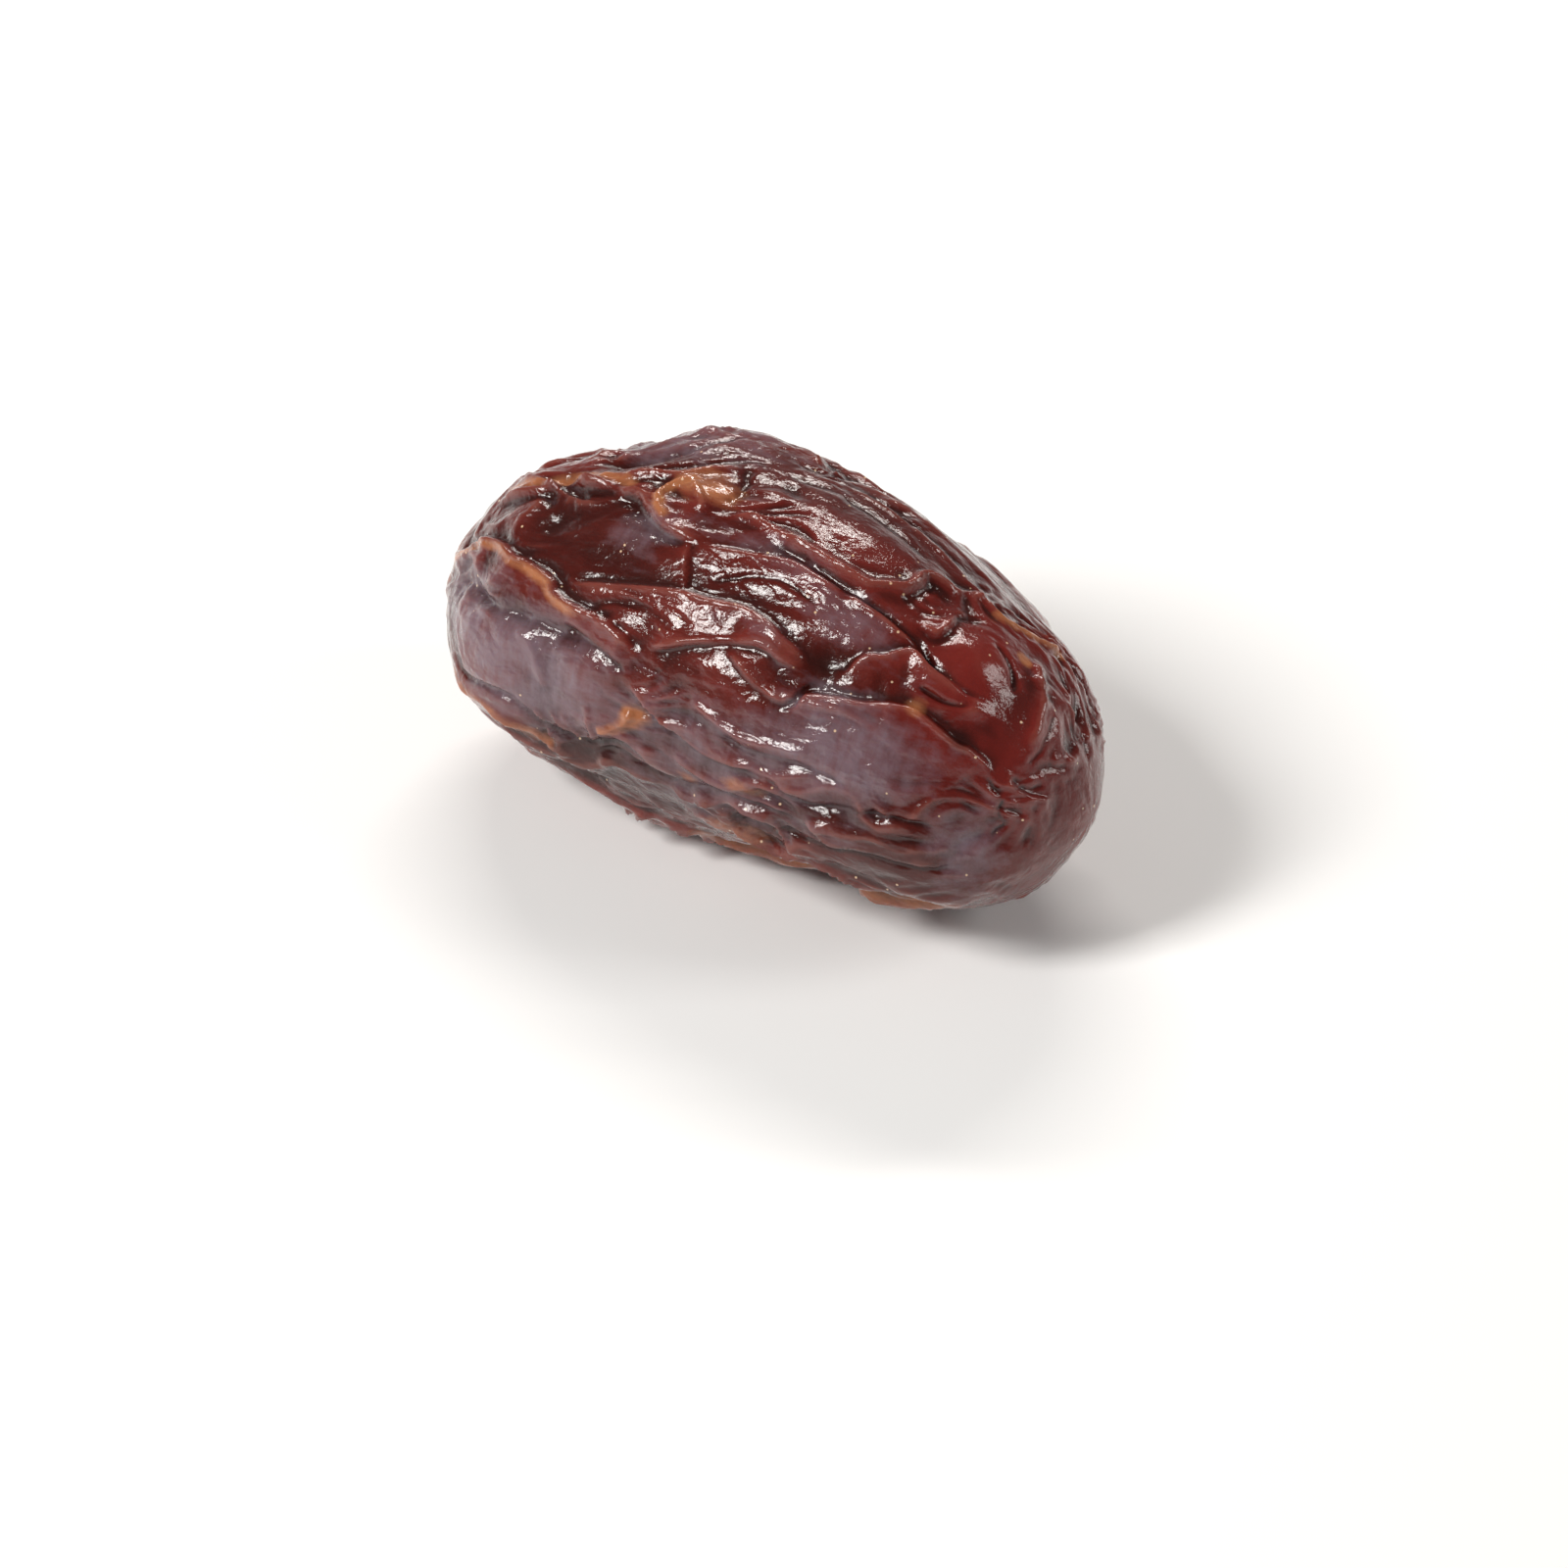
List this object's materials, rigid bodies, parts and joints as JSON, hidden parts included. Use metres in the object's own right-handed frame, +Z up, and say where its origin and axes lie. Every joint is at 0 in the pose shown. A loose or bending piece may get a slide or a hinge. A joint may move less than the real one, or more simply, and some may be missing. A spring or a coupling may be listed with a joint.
{
  "type": "medjool date",
  "caption": "Whole dried date lying on its side: a blunt oblong fruit whose shrunken skin is laid in folds, ridges and creases, with a small flat spot to rest on.",
  "frame": {"origin": "on the surface that the fruit rests on, under the middle of its bounding box", "axes": "+X along the fruit from the stem end to the tip, +Z up, and the face that the picture shows looks half way between +Z and -Y"},
  "size_m": [0.0504, 0.0271, 0.0261],
  "materials": {
    "date_skin": "wrinkled glossy fruit skin, deep red-brown with a thin grey-violet wax bloom and amber ridges"
  },
  "bodies": {
    "root": {"date_fruit": "date_skin"}
  },
  "joints": []
}
